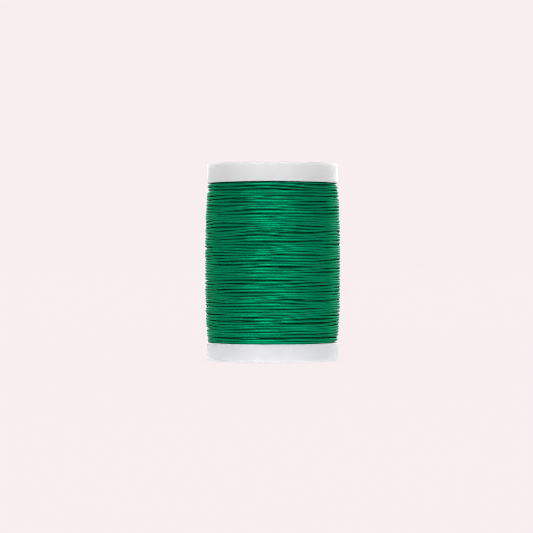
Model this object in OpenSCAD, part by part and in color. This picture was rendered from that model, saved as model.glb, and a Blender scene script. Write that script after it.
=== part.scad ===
// Spool of thick sewing thread.
// A hollow barrel stands between two moulded flanges, a spindle tube runs through the middle,
// a paper label lies in each end face, and one thread is wound on the barrel.
// Millimetres. The spool's axis is Z, and its bottom face lies on Z = 0.

/* [Spool] */
// Overall height, from end face to end face
spool_h = 35.9; // [33:0.1:40]
// Outside diameter of both flanges
flange_d = 24; // [23.8:0.1:25]
// Thickness of the bottom flange
bottom_flange_t = 3.3; // [3:0.1:4]
// Thickness of the top flange, which has the catch slit
top_flange_t = 3.5; // [3:0.1:4]
// Radius of the rounded edges of the flange rims
rim_edge_r = 0.2; // [0.15:0.05:0.45]

/* [Barrel] */
// Outside diameter of the barrel that carries the thread
barrel_d = 20.4; // [20:0.1:21]
// Wall thickness of the barrel
barrel_wall = 1.4; // [1.1:0.1:1.6]
// Length of each flange's spigot inside the barrel
spigot_l = 3; // [2:0.2:5]
// Wall thickness of the spigot
spigot_wall = 1.3; // [1:0.1:1.5]

/* [Spindle tube] */
// Diameter of the hole that goes over a spool pin
bore_d = 7; // [6:0.1:7.4]
// Wall thickness of the spindle tube
spindle_wall = 1.2; // [1:0.1:1.3]
// Thickness of the lip in each flange that keeps the tube in
lip_t = 0.8; // [0.6:0.1:1]
// Chamfer at both ends of the bore
bore_chamfer = 0.3; // [0.2:0.1:0.4]

/* [Label] */
// Outside diameter of the round paper labels
label_d = 20.3; // [19:0.1:20.5]
// Diameter of the hole in the labels
label_hole_d = 11.5; // [11.2:0.1:12.5]
// Thickness of the label paper
label_t = 0.15; // [0.1:0.05:0.2]
// Depth of the recess that the label lies in
label_recess = 0.3; // [0.25:0.05:0.4]

/* [Thread] */
// Diameter of the thread
thread_d = 0.46; // [0.4:0.02:0.5]
// Diameter over the winding at the middle of the spool
winding_mid_d = 24.7; // [24:0.1:25]
// Diameter over the winding where it meets the flanges
winding_end_d = 23.5; // [22.5:0.1:23.8]
// Place of the catch slit round the top flange, in degrees from +X
slit_angle = 115; // [0:5:355]
// Width of the catch slit
slit_w = 0.7; // [0.66:0.02:0.9]
// Depth of the catch slit, inwards from the rim
slit_depth = 1.1; // [1:0.05:1.2]

/* [Hidden] */
$fn = 96;

barrel_r = barrel_d / 2;
barrel_inner_r = barrel_r - barrel_wall;
spigot_inner_r = barrel_inner_r - spigot_wall;
spindle_r = bore_d / 2 + spindle_wall;
hub_wall = 1.3;
hub_r = spindle_r + hub_wall;
lip_r = bore_d / 2 + spindle_wall / 2;
lead_in = 0.3;

winding_low = bottom_flange_t;
winding_high = spool_h - top_flange_t;
winding_h = winding_high - winding_low;
winding_mid_z = (winding_low + winding_high) / 2;
label_play = 0.15;

core_depth = 1.9;
rib_count = 6;
rib_w = 0.8;
// How far a rib and a hub reach into the plate that they stand on
root = 0.5;
// How far a cutting shape reaches past the faces that it cuts
cut_over = 1;

// The winding's outline is a flat crown that falls off towards the flanges.
crown_steps = 36;
crown_power = 2.2;
crown_roundness = 0.45;

// The thread's last stretch: [degrees from the slit, radius past the rim, height above the thread
// side of the flange]. It leaves the winding along the turns, bends up and lies in the slit.
tail_route = [
    [-33, 0.16, -1.3], [-24, 0.17, -1.3], [-15, 0.18, -1.28], [-8, 0.18, -1.2],
    [-4, 0.16, -0.95], [-1.2, 0.1, -0.5], [0, 0, 0], [0, -0.2, 0.5],
    [0, -0.4, 1.1], [0, -0.55, 1.8], [0, -0.6, 2.5], [0, -0.6, 3]
];
tail_sides = 8;
tail_steps = 3;

plastic_white = [0.93, 0.93, 0.94];
plastic_natural = [0.88, 0.88, 0.86];
paper_white = [0.96, 0.95, 0.92];
thread_green = [0.02, 0.45, 0.28];

function crown_r(z) =
    let (share = abs(z - winding_mid_z) / (winding_h / 2),
         rise = pow(max(0, 1 - pow(share, crown_power)), crown_roundness))
    winding_end_d / 2 + (winding_mid_d - winding_end_d) / 2 * rise;

function spline(a, b, c, d, t) =
    ((2 * b) + (c - a) * t + (2 * a - 5 * b + 4 * c - d) * t * t
     + (3 * b - a - 3 * c + d) * t * t * t) / 2;

function placed(p) =
    let (angle = slit_angle + p[0], r = flange_d / 2 + p[1])
    [r * cos(angle), r * sin(angle), winding_high + p[2]];

function unit(v) = v / norm(v);

// A tube with flat ends along a line of points. Its rings keep one side towards the reference.
module tube_along(line, r, sides, reference) {
    last = len(line) - 1;
    rings = [for (i = [0:last])
        let (ahead = unit(line[min(i + 1, last)] - line[max(i - 1, 0)]),
             out = unit(reference - (reference * ahead) * ahead),
             across = cross(ahead, out))
        for (k = [0:sides - 1])
            line[i] + r * (cos(k * 360 / sides) * out + sin(k * 360 / sides) * across)];
    walls = [for (i = [0:last - 1], k = [0:sides - 1])
        let (n = (k + 1) % sides)
        [i * sides + k, (i + 1) * sides + k, (i + 1) * sides + n, i * sides + n]];
    start_cap = [for (k = [0:sides - 1]) k];
    end_cap = [for (k = [0:sides - 1]) last * sides + sides - 1 - k];
    polyhedron(points = rings, faces = concat(walls, [start_cap], [end_cap]));
}

module ring(outer_r, inner_r, h) {
    difference() {
        cylinder(r = outer_r, h = h);
        translate([0, 0, -cut_over]) cylinder(r = inner_r, h = h + 2 * cut_over);
    }
}

// A flange of thickness t lies with its thread side on Z = 0 and its end face on Z = t.
// Its spigot and hub hang below it, inside the barrel.
module rim_plate(t) {
    rotate_extrude() {
        square([flange_d / 2 - rim_edge_r, t]);
        translate([0, rim_edge_r]) square([flange_d / 2, t - 2 * rim_edge_r]);
        for (z = [rim_edge_r, t - rim_edge_r])
            translate([flange_d / 2 - rim_edge_r, z]) circle(r = rim_edge_r);
    }
}

module spigot() {
    rotate_extrude() polygon([
        [spigot_inner_r, 0], [barrel_inner_r, 0], [barrel_inner_r, lead_in - spigot_l],
        [barrel_inner_r - lead_in, -spigot_l], [spigot_inner_r, -spigot_l]
    ]);
}

module hub() {
    translate([0, 0, -spigot_l]) cylinder(r = hub_r, h = spigot_l + core_depth + root);
}

module ribs() {
    for (i = [0:rib_count - 1])
        rotate([0, 0, i * 360 / rib_count])
            translate([hub_r - rib_w / 2, -rib_w / 2, -spigot_l / 2])
                cube([spigot_inner_r - hub_r + rib_w, rib_w, spigot_l / 2 + core_depth + root]);
}

module label_pocket(t) {
    translate([0, 0, t - label_recess])
        ring(label_d / 2 + label_play, label_hole_d / 2 - label_play, label_recess + cut_over);
}

module spindle_socket(t) {
    translate([0, 0, -spigot_l - cut_over])
        cylinder(r = spindle_r, h = spigot_l + cut_over + t - lip_t);
    translate([0, 0, -cut_over]) cylinder(r = lip_r, h = t + 2 * cut_over);
}

module flange(t) {
    difference() {
        union() {
            difference() {
                rim_plate(t);
                translate([0, 0, -cut_over])
                    ring(spigot_inner_r, hub_r, core_depth + cut_over);
            }
            spigot();
            hub();
            ribs();
        }
        label_pocket(t);
        spindle_socket(t);
    }
}

module catch_slit() {
    rotate([0, 0, slit_angle])
        translate([flange_d / 2 - slit_depth + slit_w / 2, 0, -cut_over]) {
            translate([0, -slit_w / 2, 0])
                cube([slit_depth + cut_over, slit_w, top_flange_t + 2 * cut_over]);
            cylinder(d = slit_w, h = top_flange_t + 2 * cut_over);
        }
}

module label() {
    ring(label_d / 2, label_hole_d / 2, label_t);
}

module barrel() {
    color(plastic_natural)
        rotate_extrude() polygon([
            [barrel_inner_r + lead_in, winding_low], [barrel_r, winding_low],
            [barrel_r, winding_high], [barrel_inner_r + lead_in, winding_high],
            [barrel_inner_r, winding_high - lead_in], [barrel_inner_r, winding_low + lead_in]
        ]);
}

module spindle_tube() {
    low = lip_t;
    high = spool_h - lip_t;
    color(plastic_natural)
        rotate_extrude() polygon([
            [bore_d / 2 + bore_chamfer, low], [spindle_r, low],
            [spindle_r, high], [bore_d / 2 + bore_chamfer, high],
            [bore_d / 2, high - bore_chamfer], [bore_d / 2, low + bore_chamfer]
        ]);
}

module top_flange() {
    color(plastic_white)
        translate([0, 0, winding_high])
            difference() {
                flange(top_flange_t);
                catch_slit();
            }
}

module bottom_flange() {
    color(plastic_white)
        translate([0, 0, winding_low]) mirror([0, 0, 1]) flange(bottom_flange_t);
}

module top_label() {
    color(paper_white) translate([0, 0, spool_h - label_recess]) label();
}

module bottom_label() {
    color(paper_white) translate([0, 0, label_recess - label_t]) label();
}

// The whole winding as one closed solid, from the barrel out to its crowned outside.
module thread_winding() {
    crown = [for (i = [0:crown_steps])
        let (z = winding_low + winding_h * (1 - cos(180 * i / crown_steps)) / 2)
        [crown_r(z), z]];
    color(thread_green)
        rotate_extrude()
            polygon(concat([[barrel_r, winding_low]], crown, [[barrel_r, winding_high]]));
}

module thread_tail() {
    last = len(tail_route) - 1;
    line = [for (i = [0:last - 1], s = [0:tail_steps - (i < last - 1 ? 1 : 0)])
        placed(spline(tail_route[max(i - 1, 0)], tail_route[i], tail_route[i + 1],
                      tail_route[min(i + 2, last)], s / tail_steps))];
    color(thread_green)
        tube_along(line, thread_d / 2, tail_sides, [cos(slit_angle), sin(slit_angle), 0]);
}

barrel();
spindle_tube();
top_flange();
bottom_flange();
top_label();
bottom_label();
thread_winding();
thread_tail();
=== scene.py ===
import math

import bpy
import numpy as np
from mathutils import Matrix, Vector


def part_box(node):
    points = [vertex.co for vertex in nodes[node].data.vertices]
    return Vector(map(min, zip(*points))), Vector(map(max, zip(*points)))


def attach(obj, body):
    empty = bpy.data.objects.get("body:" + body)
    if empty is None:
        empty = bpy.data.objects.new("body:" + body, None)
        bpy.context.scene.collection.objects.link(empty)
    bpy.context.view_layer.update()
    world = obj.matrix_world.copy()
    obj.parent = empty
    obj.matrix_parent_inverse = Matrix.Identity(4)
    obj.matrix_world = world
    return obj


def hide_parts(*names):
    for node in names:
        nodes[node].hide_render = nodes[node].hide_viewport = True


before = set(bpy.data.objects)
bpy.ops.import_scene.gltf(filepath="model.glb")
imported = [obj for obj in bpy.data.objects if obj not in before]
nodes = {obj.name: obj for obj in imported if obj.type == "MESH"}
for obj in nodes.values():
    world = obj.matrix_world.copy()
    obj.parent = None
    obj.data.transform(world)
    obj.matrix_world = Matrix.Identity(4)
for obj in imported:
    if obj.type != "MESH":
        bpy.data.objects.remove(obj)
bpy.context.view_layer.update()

MM = 0.001

# ---------------------------------------------------------------- sizes, from the frame

spool_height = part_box("top_flange")[1].z
middle = Vector((0, 0, spool_height / 2))
flange_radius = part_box("top_flange")[1].x
barrel_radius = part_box("barrel")[1].x
winding_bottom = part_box("barrel")[0].z
winding_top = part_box("barrel")[1].z
winding_height = winding_top - winding_bottom
winding_middle = (winding_bottom + winding_top) / 2
label_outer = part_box("top_label")[1].x

# ---------------------------------------------------------------- camera

CAMERA_DISTANCE = 396 * MM
SENSOR_WIDTH = 36.0
# The flanges span this share of the picture's width, and the spool stands a little right of
# the middle and above it.
FLANGE_SHARE = 0.2452
OFFSET_RIGHT = 0.0114
OFFSET_UP = 0.0081
NEAREST_SEEN = 0.01
FARTHEST_SEEN = 20


def make_camera():
    """A level camera in front of the spool, at half its height."""
    data = bpy.data.cameras.new("camera")
    data.sensor_width = SENSOR_WIDTH
    seen_half_width = flange_radius / math.sqrt(CAMERA_DISTANCE**2 - flange_radius**2)
    data.lens = SENSOR_WIDTH * FLANGE_SHARE / (2 * seen_half_width)
    data.shift_x = -OFFSET_RIGHT
    data.shift_y = -OFFSET_UP
    data.clip_start = NEAREST_SEEN
    data.clip_end = FARTHEST_SEEN
    camera = bpy.data.objects.new("camera", data)
    camera.location = middle + Vector((0, -CAMERA_DISTANCE, 0))
    camera.rotation_euler = (math.radians(90), 0, 0)
    bpy.context.scene.collection.objects.link(camera)
    bpy.context.scene.camera = camera


make_camera()

# ---------------------------------------------------------------- the thread's way

THREAD_D = 0.46 * MM
# The winding's outline is the CAD solid's: a crown that falls off towards the flanges. The
# turns' tops stand a little further out at the middle, because the solid's face is their mean.
WINDING_MID_R = 12.44 * MM
WINDING_END_R = 11.75 * MM
CROWN_POWER = 2.2
CROWN_ROUNDNESS = 0.45

# One row for each layer, from the inside out: whole turns, the gap in millimetres between its end
# turns and the flange below and above, and of how many stations the mesh keeps one.
LAYERS = [
    (58, 0.0, 0.0, 4),
    (57, 0.02, 0.02, 4),
    (57, 0.04, 0.04, 4),
    (56, 0.03, 0.03, 2),
    (53, 0.8, 1.07, 1),
]
# The points at which each turn is worked out
STATIONS = 108
WINDING_SEED = 11
# The layers lie a little closer together outwards, where turns nest in the valleys below them.
LAYER_CROWDING = 0.8
# The outermost layer stops short of the flanges. It starts this far from them, and reaches its
# whole height over this length.
LAYER_FADE_START = 0.5 * MM
LAYER_FADE_LENGTH = 1.2 * MM

# How far turns lie off their even places: together, as the guide laid them, and each by itself.
# Both die away over a short way at a layer's ends.
LEAN = 0.12 * MM
WANDER = 0.03 * MM
STRAY_FADE = 1.2 * MM
# The lean is a sum of waves: their number, how many of one fit round a turn, and their lengths
# up the spool in millimetres. So is the wander, with its waves' lengths in turns.
LEAN_WAVES = 24
LEAN_ROUND = (0, 6)
LEAN_LENGTHS = (1.6, 8)
WANDER_WAVES = 16
WANDER_LENGTHS = (0.14, 1.1)

# A layer keeps this share of the bumps that its turns make, and no more than so much either way.
# Its mean radius is set at so many heights.
BUMP_SHARE = 0.4
DEEPEST_DIP = 0.07 * THREAD_D
HIGHEST_BUMP = 0.1 * THREAD_D
EVENING_SLOTS = 39

# The climb from one layer to the next, and the rise to the thread's last stretch
CLIMB_STATIONS = 20
RISE_TURNS = 0.3

SLIT_ANGLE = 115
# The thread's last stretch, as in the CAD tube: degrees from the slit, millimetres past the
# flange's rim, and millimetres above the flange's thread side.
TAIL_ROUTE = [
    (-33, 0.16, -1.3), (-24, 0.17, -1.3), (-15, 0.18, -1.28), (-8, 0.18, -1.2),
    (-4, 0.16, -0.95), (-1.2, 0.1, -0.5), (0, 0, 0), (0, -0.2, 0.5),
    (0, -0.4, 1.1), (0, -0.55, 1.8), (0, -0.6, 2.5), (0, -0.6, 3),
]
TAIL_STEPS = 3
TAIL_RINGS = (len(TAIL_ROUTE) - 1) * TAIL_STEPS + 1


def crown_radius(z):
    """The wanted radius over the thread at a height above the floor."""
    share = np.clip(np.abs(z - winding_middle) / (winding_height / 2), 0, 1)
    rise = (1 - share**CROWN_POWER) ** CROWN_ROUNDNESS
    return WINDING_END_R + (WINDING_MID_R - WINDING_END_R) * rise


def smooth_step(x):
    x = np.clip(x, 0, 1)
    return x * x * (3 - 2 * x)


def round_average(values, reach):
    """The mean over a few stations to each side, on a closed turn."""
    width = 2 * reach + 1
    longer = np.concatenate([values[-reach:], values, values[:reach]])
    total = np.concatenate([[0], np.cumsum(longer)])
    return (total[width:] - total[:-width]) / width


def shared_lean(random):
    """How far the guide laid neighbouring turns off their place, by angle and height."""
    waves = []
    for _ in range(LEAN_WAVES):
        around = random.integers(*LEAN_ROUND)
        upwards = random.choice((-1, 1)) * 2 * math.pi / (random.uniform(*LEAN_LENGTHS) * MM)
        waves.append((around, upwards, random.uniform(0, 2 * math.pi), random.normal()))
    scale = 1 / math.sqrt(sum(size**2 for *_, size in waves) / 2)
    return lambda angle, z: scale * sum(
        size * np.sin(around * angle + upwards * z + phase)
        for around, upwards, phase, size in waves)


def own_wander(random, turns):
    """How far each stretch of the thread strays by itself, by turns along it."""
    wander = np.zeros_like(turns)
    for _ in range(WANDER_WAVES):
        period = random.uniform(*WANDER_LENGTHS)
        phase = random.uniform(0, 2 * math.pi)
        wander += random.normal() * np.sin(2 * math.pi * turns / period + phase)
    return wander / wander.std()


class Pile:
    """The height of the thread laid so far, on a grid of angle by height."""

    STEP = 0.02 * MM
    # A thread is soft at its sides, so neighbours may lie this much closer than its diameter.
    HALF_WIDTH = 0.4 * THREAD_D
    # The circle of the thread's profile is a touch wider, so the profile's edge has some height.
    CIRCLE_HALF = HALF_WIDTH * 1.02
    # How far a turn may slide into a valley, and the drop that makes it do so, as a share of
    # the slide.
    REACH = 0.16 * MM
    STIFFNESS = 0.3
    # Stations to each side over which a turn evens out its choice of valley, its slide, and the
    # heights that it rests on.
    CHOICE_SPREAD = 6
    SLIDE_SPREAD = 5
    REST_SPREAD = 2

    def __init__(self):
        count = round(winding_height / self.STEP) + 1
        self.top = np.full((STATIONS, count), barrel_radius)
        self.half = int(self.HALF_WIDTH / self.STEP)
        self.across = np.arange(-self.half, self.half + 1)
        share = self.across * self.STEP / self.CIRCLE_HALF
        self.profile = THREAD_D / 2 * np.sqrt(1 - share**2)
        self.rows = np.arange(STATIONS)[:, None]

    def below(self, z):
        """The columns of the grid that a turn at these heights covers."""
        column = np.round((z - winding_bottom) / self.STEP).astype(int)
        column = np.clip(column, self.half, self.top.shape[1] - 1 - self.half)
        return column[:, None] + self.across

    def support(self, below):
        """The radius at which a turn over these columns touches what lies below it."""
        return (self.top[self.rows, below] + self.profile).max(1)

    def lay(self, z):
        """One turn slides into the nearest valley and settles there. Gives its radius and z."""
        moves = np.arange(-int(self.REACH / self.STEP), int(self.REACH / self.STEP) + 1)
        costs = []
        for move in moves:
            support = self.support(self.below(z + move * self.STEP))
            effort = self.STIFFNESS * abs(move) * self.STEP
            costs.append(round_average(support + effort, self.CHOICE_SPREAD))
        slide = moves[np.argmin(costs, axis=0)] * self.STEP
        z = z + round_average(round_average(slide, self.SLIDE_SPREAD), self.SLIDE_SPREAD)
        below = self.below(z)
        shifts = range(-self.REST_SPREAD, self.REST_SPREAD + 1)
        support = self.support(below)
        highest = np.max([np.roll(support, shift) for shift in shifts], axis=0)
        radius = round_average(highest, self.REST_SPREAD)
        np.maximum.at(self.top, (self.rows, below), radius[:, None] + self.profile)
        return radius, z


def join_turns(values, turns):
    """Spreads the step from one turn's end to the next one's start over a quarter of each."""
    reach = STATIONS // 4
    share = smooth_step(1 - (np.arange(reach) + 0.5) / reach)
    for seam in range(STATIONS, turns * STATIONS, STATIONS):
        half_step = (values[seam] - values[seam - 1]) / 2
        values[seam:seam + reach] -= half_step * share
        values[seam - reach:seam] += half_step * share[::-1]


def layer_radius(layer, z):
    """The wanted radius of a layer's centreline. Near the flanges there is one layer less."""
    from_flange = np.minimum(z - winding_bottom, winding_top - z)
    outermost = smooth_step((from_flange - LAYER_FADE_START) / LAYER_FADE_LENGTH)
    last = len(LAYERS) - 2 + outermost
    inner = barrel_radius + THREAD_D / 2
    outer = crown_radius(z) - THREAD_D / 2
    return inner + (outer - inner) * np.minimum(layer / last, 1) ** LAYER_CROWDING


def even_out(layer, radius, z):
    """Brings a layer's mean radius at each height to the wanted one, and keeps its bumps."""
    edges = np.linspace(winding_bottom, winding_top, EVENING_SLOTS + 1)
    slot = np.clip(np.digitize(z, edges) - 1, 0, EVENING_SLOTS - 1)
    filled = np.unique(slot)
    means = np.array([radius[slot == s].mean() for s in filled])
    centres = (edges[filled] + edges[filled + 1]) / 2
    bump = BUMP_SHARE * (radius - np.interp(z, centres, means))
    return layer_radius(layer, z) + np.clip(bump, -DEEPEST_DIP, HIGHEST_BUMP)


def wind_thread():
    """The whole winding as stations: angle, radius, height and the layer that each is in."""
    random = np.random.default_rng(WINDING_SEED)
    pile = Pile()
    angles, radii, heights, layers = [], [], [], []
    start = 0
    for layer, (turns, gap_below, gap_above, _) in enumerate(LAYERS):
        lean = shared_lean(random)
        low = winding_bottom + THREAD_D / 2 + gap_below * MM
        high = winding_top - THREAD_D / 2 - gap_above * MM
        along = np.arange(turns * STATIONS) / STATIONS
        nominal = low + (high - low) * along / turns
        if layer % 2:
            nominal = low + high - nominal
        angle = 2 * math.pi * (start + along)
        ease = np.clip(np.minimum(nominal - low, high - nominal) / STRAY_FADE, 0, 1)
        stray = LEAN * lean(angle, nominal) + WANDER * own_wander(random, along)
        z = np.clip(nominal + ease * stray, low, high)
        radius = np.zeros_like(z)
        for turn in range(turns):
            part = slice(turn * STATIONS, (turn + 1) * STATIONS)
            radius[part], z[part] = pile.lay(z[part])
        join_turns(radius, turns)
        join_turns(z, turns)
        z = np.clip(z, low, high)
        angles.append(angle)
        radii.append(even_out(layer, radius, z))
        heights.append(z)
        layers.append(np.full(len(z), layer))
        start += turns
    return [np.concatenate(rows) for rows in (angles, radii, heights, layers)]


def climb_between_layers(values, layer):
    """Between two layers the thread climbs over a short stretch, and not in one step."""
    step = smooth_step((np.arange(CLIMB_STATIONS) + 0.5) / CLIMB_STATIONS)
    for seam in np.flatnonzero(np.diff(layer)) + 1:
        reach = np.arange(seam - CLIMB_STATIONS // 2, seam + CLIMB_STATIONS // 2)
        values[reach] = values[reach[0]] + (values[reach[-1]] - values[reach[0]]) * step


def spline(points):
    """A smooth curve through the points, the one that the CAD tube follows."""
    points = np.array(points, float)
    last = len(points) - 1
    out = []
    for i in range(last):
        a, b = points[max(i - 1, 0)], points[i]
        c, d = points[i + 1], points[min(i + 2, last)]
        for t in np.arange(TAIL_STEPS) / TAIL_STEPS:
            out.append((2 * b + (c - a) * t + (2 * a - 5 * b + 4 * c - d) * t**2
                        + (3 * b - a - 3 * c + d) * t**3) / 2)
    return np.array(out + [points[last]])


def thread_route():
    """Angle, radius, height and layer of every ring, from the barrel to the cut end."""
    angle, radius, z, layer = wind_thread()
    tail = spline(TAIL_ROUTE)
    tail_angle = np.radians(SLIT_ANGLE + tail[:, 0])
    tail_radius = flange_radius + tail[:, 1] * MM
    tail_z = winding_top + tail[:, 2] * MM
    # The winding stops where the tail starts, and rises to it over the last part of a turn.
    extra = round((tail_angle[0] % (2 * math.pi)) / (2 * math.pi) * STATIONS)
    cut = len(angle) - STATIONS + extra
    angle, radius, z, layer = angle[:cut], radius[:cut], z[:cut], layer[:cut]
    rise = smooth_step(1 - (np.arange(cut)[::-1] + 1) / (STATIONS * RISE_TURNS))
    radius = radius + (tail_radius[0] - radius) * rise
    z = z + (tail_z[0] - z) * rise
    whole = round((angle[-1] - tail_angle[0]) / (2 * math.pi)) * 2 * math.pi
    climb_between_layers(radius, layer)
    climb_between_layers(z, layer)
    stride = np.array([stride for *_, stride in LAYERS])[layer]
    keep = np.arange(cut) % stride == 0
    return (np.concatenate([angle[keep], tail_angle + whole]),
            np.concatenate([radius[keep], tail_radius]),
            np.concatenate([z[keep], tail_z]),
            np.concatenate([layer[keep], np.full(len(tail), len(LAYERS) - 1)]))


# ---------------------------------------------------------------- the thread's mesh

# The inner layers show only in the gaps between outer turns, so their rings have fewer sides.
INNER_LAYERS = 3
INNER_SIDES = 4
OUTER_SIDES = 2 * INNER_SIDES
# A wound thread is pressed a little flat: its width and its height in diameters. The last
# stretch is free, and gets round again over its first rings.
PRESSED_WIDE = 1.28
PRESSED_HIGH = 0.92
ROUNDING_RINGS = 6
# The plies of the twist come round once in this length.
TWIST_LENGTH = 1.1 * MM


def unit(rows):
    return rows / np.linalg.norm(rows, axis=1)[:, None]


def ring_points(path, out, across, sides, first):
    """The points of every ring, in the order of the rings."""
    free = smooth_step((np.arange(len(path)) - (len(path) - TAIL_RINGS)) / ROUNDING_RINGS)
    high = THREAD_D / 2 * (PRESSED_HIGH + (1 - PRESSED_HIGH) * free)
    wide = THREAD_D / 2 * (PRESSED_WIDE + (1 - PRESSED_WIDE) * free)
    points = np.zeros((first[-1], 3))
    for count in (INNER_SIDES, OUTER_SIDES):
        rings = np.flatnonzero(sides == count)
        for k in range(count):
            turn = 2 * math.pi * k / count
            points[first[rings] + k] = (
                path[rings] + math.cos(turn) * high[rings, None] * out[rings]
                + math.sin(turn) * wide[rings, None] * across[rings])
    return points


def wall(a, b, u, v, sides):
    """Faces between two rings with equal sides, and where each corner is on the thread."""
    for k in range(sides):
        n = (k + 1) % sides
        low, high = k / sides, (k + 1) / sides
        yield (a + k, b + k, b + n, a + n), ((u, low), (v, low), (v, high), (u, high))


def doubling_wall(a, b, u, v, sides):
    """The same from a ring to one that has twice its sides."""
    for k in range(sides):
        n, m = (k + 1) % sides, 2 * k
        low, mid, high = k / sides, (k + 0.5) / sides, (k + 1) / sides
        yield (a + k, b + m, b + m + 1), ((u, low), (v, low), (v, mid))
        yield (a + k, b + m + 1, a + n), ((u, low), (v, mid), (u, high))
        yield (a + n, b + m + 1, b + (m + 2) % (2 * sides)), ((u, high), (v, mid), (v, high))


def end_cap(ring, order, along, sides, first):
    """The face that closes the tube at one end, with its corners taken in either order."""
    corners = tuple(first[ring] + k for k in range(sides[ring]))[::order]
    return corners, tuple((along[ring], 0.5) for _ in corners)


def thread_mesh():
    """The thread as one closed tube. Gives the mesh, its centreline and its length."""
    angle, radius, z, layer = thread_route()
    outward = np.stack([np.cos(angle), np.sin(angle), np.zeros_like(angle)], axis=1)
    path = radius[:, None] * outward
    path[:, 2] = z
    ahead = unit(np.gradient(path, axis=0))
    out = unit(outward - (outward * ahead).sum(1)[:, None] * ahead)
    across = np.cross(ahead, out)
    along = np.concatenate([[0], np.cumsum(np.linalg.norm(np.diff(path, axis=0), axis=1))])
    sides = np.where(layer < INNER_LAYERS, INNER_SIDES, OUTER_SIDES)
    first = np.concatenate([[0], np.cumsum(sides)])

    walls = []
    for i in range(len(path) - 1):
        build = wall if sides[i] == sides[i + 1] else doubling_wall
        walls.extend(build(first[i], first[i + 1], along[i], along[i + 1], sides[i]))
    walls.append(end_cap(0, 1, along, sides, first))
    walls.append(end_cap(len(path) - 1, -1, along, sides, first))
    faces, places = zip(*walls)

    mesh = bpy.data.meshes.new("thread")
    mesh.from_pydata(ring_points(path, out, across, sides, first), [], faces)
    mesh.polygons.foreach_set("use_smooth", [True] * len(faces))
    uv = mesh.uv_layers.new(name="twist")
    flat = np.array([corner for place in places for corner in place])
    flat[:, 0] /= TWIST_LENGTH
    uv.data.foreach_set("uv", flat.ravel())
    mesh.update()
    return mesh, path, along[-1]


def make_thread():
    mesh, path, length = thread_mesh()
    thread = bpy.data.objects.new("thread", mesh)
    bpy.context.scene.collection.objects.link(thread)
    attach(thread, "root")
    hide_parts("thread_winding", "thread_tail")
    return thread


thread = make_thread()

# ---------------------------------------------------------------- materials

# Thread: painted shade, a darker green in the furrows between the plies; the plies; painted
# glints, a lighter green where fibres catch the light; and the tone of duller patches
PAINTED_FURROW_SHADE = (0.0, 0.145, 0.061)
PLY_GREEN = (0.0, 0.168, 0.073)
PAINTED_FIBRE_GLINT = (0.0, 0.42, 0.195)
PATCH_GREEN = (0.0, 0.147, 0.06)
GLANCING_TINT = (0.25, 0.45, 0.42, 1)
PLIES = 3
# Waves of the fibres' noise across one ply, and along one turn of the twist
FIBRES_ACROSS = 9
FIBRES_ALONG = 0.7

WHITE_PLASTIC = (0.575, 0.573, 0.58)
NATURAL_PLASTIC = (0.76, 0.76, 0.735)
# How dark flow marks and wear are against the clean plastic, and how far wear reaches in from
# a flange's outer edges
FLOW_SHADE = 0.965
WEAR_SHADE = 0.9
WEAR_WIDTH = 0.5 * MM

PAPER_TONES = (0.88, 0.87, 0.84), (0.8, 0.79, 0.755)
PAPER_STAIN = (0.78, 0.75, 0.69)
INK_GREEN = (0.01, 0.17, 0.075)
# The printed rings: distances from the label's outer edge, and half the width of a line with its
# ink full and with its ink gone
INK_RINGS = (0.7 * MM, 3.9 * MM)
INK_FULL = 0.13 * MM
INK_GONE = 0.17 * MM


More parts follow.
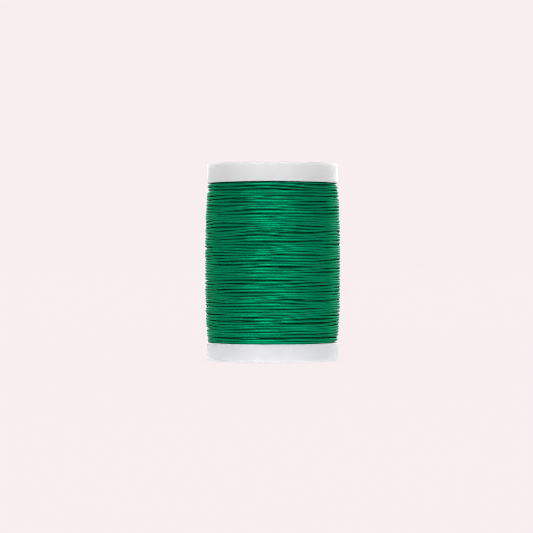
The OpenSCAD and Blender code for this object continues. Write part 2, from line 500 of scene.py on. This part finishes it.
class Nodes:
    """The node tree of a material or a world, with short calls for the nodes used here."""

    def __init__(self, owner):
        owner.use_nodes = True
        self.owner = owner
        self.tree = owner.node_tree

    def add(self, kind, **settings):
        node = self.tree.nodes.new(kind)
        for key, value in settings.items():
            setattr(node, key, value)
        return node

    def feed(self, socket, value):
        if isinstance(value, bpy.types.NodeSocket):
            self.tree.links.new(value, socket)
        else:
            socket.default_value = value

    def fill(self, node, **values):
        """Feeds the named inputs of a node and gives its first output."""
        for name, value in values.items():
            self.feed(node.inputs[name.replace("_", " ")], value)
        return node.outputs[0]

    def math(self, operation, *values):
        node = self.add("ShaderNodeMath", operation=operation)
        for socket, value in zip(node.inputs, values):
            self.feed(socket, value)
        return node.outputs[0]

    def noise(self, place, scale, detail=3, roughness=0.5):
        return self.fill(self.add("ShaderNodeTexNoise"), Vector=place, Scale=scale,
                         Detail=detail, Roughness=roughness)

    def ramp(self, value, low, high, to_low=0.0, to_high=1.0):
        node = self.add("ShaderNodeMapRange", interpolation_type="SMOOTHSTEP")
        return self.fill(node, Value=value, From_Min=low, From_Max=high, To_Min=to_low,
                         To_Max=to_high)

    def blend(self, share, first, second):
        node = self.add("ShaderNodeMix", data_type="RGBA")
        self.feed(node.inputs["Factor"], share)
        for socket, colour in ((node.inputs[6], first), (node.inputs[7], second)):
            if isinstance(colour, tuple):
                colour = (*colour, 1)
            self.feed(socket, colour)
        return node.outputs[2]

    def place(self):
        return self.add("ShaderNodeTexCoord").outputs["Object"]

    def apart(self, vector):
        node = self.add("ShaderNodeSeparateXYZ")
        self.feed(node.inputs[0], vector)
        return node.outputs

    def from_axis(self, x, y):
        squares = (self.math("MULTIPLY", x, x), self.math("MULTIPLY", y, y))
        return self.math("SQRT", self.math("ADD", *squares))

    def bump(self, height, distance, strength=1.0, below=None):
        node = self.add("ShaderNodeBump")
        normal = self.fill(node, Strength=strength, Distance=distance, Height=height)
        if below is not None:
            self.feed(node.inputs["Normal"], below)
        return normal

    def glow(self, colour, strength=1.0):
        return self.fill(self.add("ShaderNodeEmission"), Color=(*colour, 1), Strength=strength)

    def matte(self, grey):
        return self.fill(self.add("ShaderNodeBsdfDiffuse"), Color=(grey, grey, grey, 1))

    def both(self, first, second):
        node = self.add("ShaderNodeAddShader")
        self.feed(node.inputs[0], first)
        self.feed(node.inputs[1], second)
        return node.outputs[0]

    def by_ray(self, for_light, for_camera):
        """One shader for what lights the scene, and another for what the camera sees."""
        node = self.add("ShaderNodeMixShader")
        self.feed(node.inputs[0], self.add("ShaderNodeLightPath").outputs["Is Camera Ray"])
        self.feed(node.inputs[1], for_light)
        self.feed(node.inputs[2], for_camera)
        return node.outputs[0]

    def shade(self, **values):
        self.fill(self.tree.nodes["Principled BSDF"], **values)


def thread_material():
    """Glossy plied thread: three plies of fine fibres in the bump; painted furrow shade and
    painted glints in the colour.
    """
    m = Nodes(bpy.data.materials.new("green_thread"))
    along, around, _ = m.apart(m.add("ShaderNodeUVMap", uv_map="twist").outputs[0])
    ply = m.math("MULTIPLY", m.math("SUBTRACT", around, along), PLIES)
    lobe = m.math("ABSOLUTE", m.math("SINE", m.math("MULTIPLY", ply, math.pi)))
    fibre_place = m.fill(m.add("ShaderNodeCombineXYZ"),
                         X=m.math("MULTIPLY", along, FIBRES_ALONG),
                         Y=m.math("MULTIPLY", ply, FIBRES_ACROSS))
    fibres = m.noise(fibre_place, scale=1.0, detail=2)
    patches = m.noise(m.place(), scale=180, detail=2)
    # Painted shade: the furrows between the plies are a darker green.
    colour = m.blend(m.ramp(lobe, 0.1, 0.9), PAINTED_FURROW_SHADE, PLY_GREEN)
    # Painted glints: streaks of fibres are a much lighter green, standing in for fibres that
    # catch the light.
    colour = m.blend(m.ramp(fibres, 0.4, 0.7, 0, 0.5), colour, PAINTED_FIBRE_GLINT)
    colour = m.blend(m.ramp(patches, 0.3, 0.7, 0, 0.25), colour, PATCH_GREEN)
    bump = m.bump(m.ramp(lobe, 0.0, 1.0), distance=0.05 * MM, strength=0.07)
    bump = m.bump(fibres, distance=0.015 * MM, strength=0.25, below=bump)
    m.shade(Base_Color=colour, Roughness=m.ramp(fibres, 0.3, 0.7, 0.13, 0.22), Normal=bump,
            Metallic=0.75, Specular_IOR_Level=0.02, Specular_Tint=GLANCING_TINT,
            Subsurface_Weight=0.8, Subsurface_Radius=(0.2, 1.0, 0.6),
            Subsurface_Scale=0.2 * MM)
    return m.owner


def moulded_plastic(name, colour, roughness, grain):
    """Moulded plastic with a fine grain, faint flow marks and duller, scuffed outer edges."""
    m = Nodes(bpy.data.materials.new(name))
    place = m.place()
    x, y, z = m.apart(place)
    outer = m.ramp(m.from_axis(x, y), flange_radius - WEAR_WIDTH, flange_radius)
    off_middle = m.math("ABSOLUTE", m.math("SUBTRACT", z, middle.z))
    end = m.ramp(off_middle, spool_height / 2 - WEAR_WIDTH, spool_height / 2)
    scratches = m.noise(place, scale=900, detail=5, roughness=0.7)
    worn = m.math("MULTIPLY", m.math("MULTIPLY", outer, end), m.ramp(scratches, 0.5, 0.62))
    clouds = m.noise(place, scale=130, detail=3)
    fine = m.noise(place, scale=5200, detail=2)
    flow_tone = tuple(FLOW_SHADE * c for c in colour)
    worn_tone = tuple(WEAR_SHADE * c for c in colour)
    tone = m.blend(m.ramp(clouds, 0.35, 0.65), colour, flow_tone)
    tone = m.blend(m.math("MULTIPLY", worn, 0.5), tone, worn_tone)
    rough = m.math("ADD", m.ramp(clouds, 0.3, 0.7, roughness - 0.04, roughness + 0.04),
                   m.math("MULTIPLY", worn, 0.18))
    bump = m.bump(fine, distance=0.01 * MM, strength=grain)
    bump = m.bump(scratches, distance=0.02 * MM, strength=m.math("MULTIPLY", worn, 0.5),
                  below=bump)
    m.shade(Base_Color=tone, Roughness=rough, Normal=bump, IOR=1.49, Subsurface_Weight=0.8,
            Subsurface_Radius=(1.0, 0.95, 0.9), Subsurface_Scale=3 * MM)
    return m.owner


def label_paper():
    """White paper with fibres, soft stains and a thin printed ring along each edge."""
    m = Nodes(bpy.data.materials.new("label_paper"))
    place = m.place()
    x, y, _ = m.apart(place)
    radius = m.from_axis(x, y)
    fibres = m.noise(place, scale=2600, detail=4, roughness=0.65)
    stains = m.noise(place, scale=160, detail=3)
    tone = m.blend(m.ramp(fibres, 0.35, 0.65), *PAPER_TONES)
    tone = m.blend(m.ramp(stains, 0.45, 0.75, 0, 0.2), tone, PAPER_STAIN)
    for inset in INK_RINGS:
        off = m.math("ABSOLUTE", m.math("SUBTRACT", radius, label_outer - inset))
        ink = m.ramp(off, INK_FULL, INK_GONE, 0.85, 0)
        patchy = m.math("MULTIPLY", ink, m.ramp(fibres, 0.25, 0.5, 0.7, 1))
        tone = m.blend(patchy, tone, INK_GREEN)
    m.shade(Base_Color=tone, Roughness=m.ramp(fibres, 0.3, 0.7, 0.78, 0.92),
            Normal=m.bump(fibres, distance=0.02 * MM, strength=0.5))
    return m.owner


def dress(piece, material):
    piece.data.materials.clear()
    piece.data.materials.append(material)


white_plastic = moulded_plastic("white_plastic", WHITE_PLASTIC, roughness=0.38, grain=0.25)
natural_plastic = moulded_plastic("natural_plastic", NATURAL_PLASTIC, roughness=0.5, grain=0.4)
paper = label_paper()
dress(thread, thread_material())
for name in ("top_flange", "bottom_flange"):
    dress(nodes[name], white_plastic)
for name in ("barrel", "spindle_tube"):
    dress(nodes[name], natural_plastic)
for name in ("top_label", "bottom_label"):
    dress(nodes[name], paper)

# ---------------------------------------------------------------- floor and light

# What the camera sees round the spool is the backdrop, and a floor whose glow and lit part have
# the backdrop's tone together. The spool's faint shadow takes only from the lit part.
BACKDROP = (0.939, 0.855, 0.863)
FLOOR_GLOW = (0.88, 0.796, 0.804)
FLOOR_LIT_PART = 0.06

FLOOR_SIZE = 12
# The floor lies a hair lower than the spool's bottom face, so that the two never coincide.
FLOOR_DROP = 0.02 * MM
# What lights the spool from below
FLOOR_ALBEDO = 0.85
# The floor near the spool throws a little more light up at it.
BOUNCE_COLOUR = (0.93, 0.95, 1)
BOUNCE_STRENGTH = 0.55
BOUNCE_REACH = 60 * MM

# Light from all round
AMBIENT = 0.06
# Degrees from the front towards the right, degrees above the floor, full within and gone beyond
# so many degrees, strength. The first eight give the thread its long highlights.
LIGHTS = [
    (-64, 9, 2, 8, 1.0),
    (-52, 9, 2, 8, 4.6),
    (-40, 9, 2, 8, 7.5),
    (-28, 8, 2, 8, 10.0),
    (-16, 8, 2, 8, 11.0),
    (-4, 8, 2, 8, 11.0),
    (8, 8, 2, 8, 10.5),
    (20, 8, 2, 8, 8.5),
    (33, 9, 3, 15, 2.5),
    (46, 9, 4, 18, 1.8),
    (59, 9, 4, 18, 0.8),
    (-90, 9, 10, 40, 0.7),
    (90, 9, 10, 40, 0.7),
    (-145, 6, 10, 35, 1.7),
    (145, 6, 10, 35, 2.4),
    (180, 6, 10, 40, 1.2),
    (0, 90, 8, 30, 4.4),
]

# In pixels. A narrow filter keeps the turns of the thread sharp.
FILTER_WIDTH = 0.8


def light_from(w, looking, right, up, inner, outer, strength):
    """Light from round a direction, full within one angle and gone beyond the other."""
    right, up = math.radians(right), math.radians(up)
    dot = w.add("ShaderNodeVectorMath", operation="DOT_PRODUCT")
    w.feed(dot.inputs[0], looking)
    dot.inputs[1].default_value = (math.sin(right) * math.cos(up),
                                   -math.cos(right) * math.cos(up), math.sin(up))
    return w.ramp(dot.outputs["Value"], math.cos(math.radians(outer)),
                  math.cos(math.radians(inner)), 0, strength)


def make_world():
    """A row of small low lights in front, and softer ones at the sides, behind and overhead."""
    world = bpy.data.worlds.new("studio")
    bpy.context.scene.world = world
    w = Nodes(world)
    looking = w.add("ShaderNodeTexCoord").outputs["Generated"]
    total = AMBIENT
    for light in LIGHTS:
        total = w.math("ADD", light_from(w, looking, *light), total)
    lit = w.fill(w.tree.nodes["Background"], Color=(1, 1, 1, 1), Strength=total)
    seen = w.fill(w.add("ShaderNodeBackground"), Color=(*BACKDROP, 1))
    w.feed(w.tree.nodes["World Output"].inputs["Surface"], w.by_ray(lit, seen))


def make_floor():
    """A pale floor. What the camera sees of it has the backdrop's tone and a faint shadow."""
    half = FLOOR_SIZE / 2
    mesh = bpy.data.meshes.new("floor")
    mesh.from_pydata([(-half, -half, 0), (half, -half, 0), (half, half, 0), (-half, half, 0)],
                     [], [(0, 1, 2, 3)])
    floor = bpy.data.objects.new("floor", mesh)
    floor.location.z = -FLOOR_DROP
    bpy.context.scene.collection.objects.link(floor)
    m = Nodes(bpy.data.materials.new("floor"))
    distance = m.add("ShaderNodeVectorMath", operation="LENGTH")
    m.feed(distance.inputs[0], m.place())
    bounce = m.ramp(distance.outputs["Value"], 0, BOUNCE_REACH, BOUNCE_STRENGTH, 0)
    for_light = m.both(m.matte(FLOOR_ALBEDO), m.glow(BOUNCE_COLOUR, bounce))
    for_camera = m.both(m.glow(FLOOR_GLOW), m.matte(FLOOR_LIT_PART))
    m.feed(m.tree.nodes["Material Output"].inputs["Surface"], m.by_ray(for_light, for_camera))
    dress(floor, m.owner)


make_world()
make_floor()
bpy.context.scene.view_settings.view_transform = "Standard"
bpy.context.scene.cycles.filter_width = FILTER_WIDTH
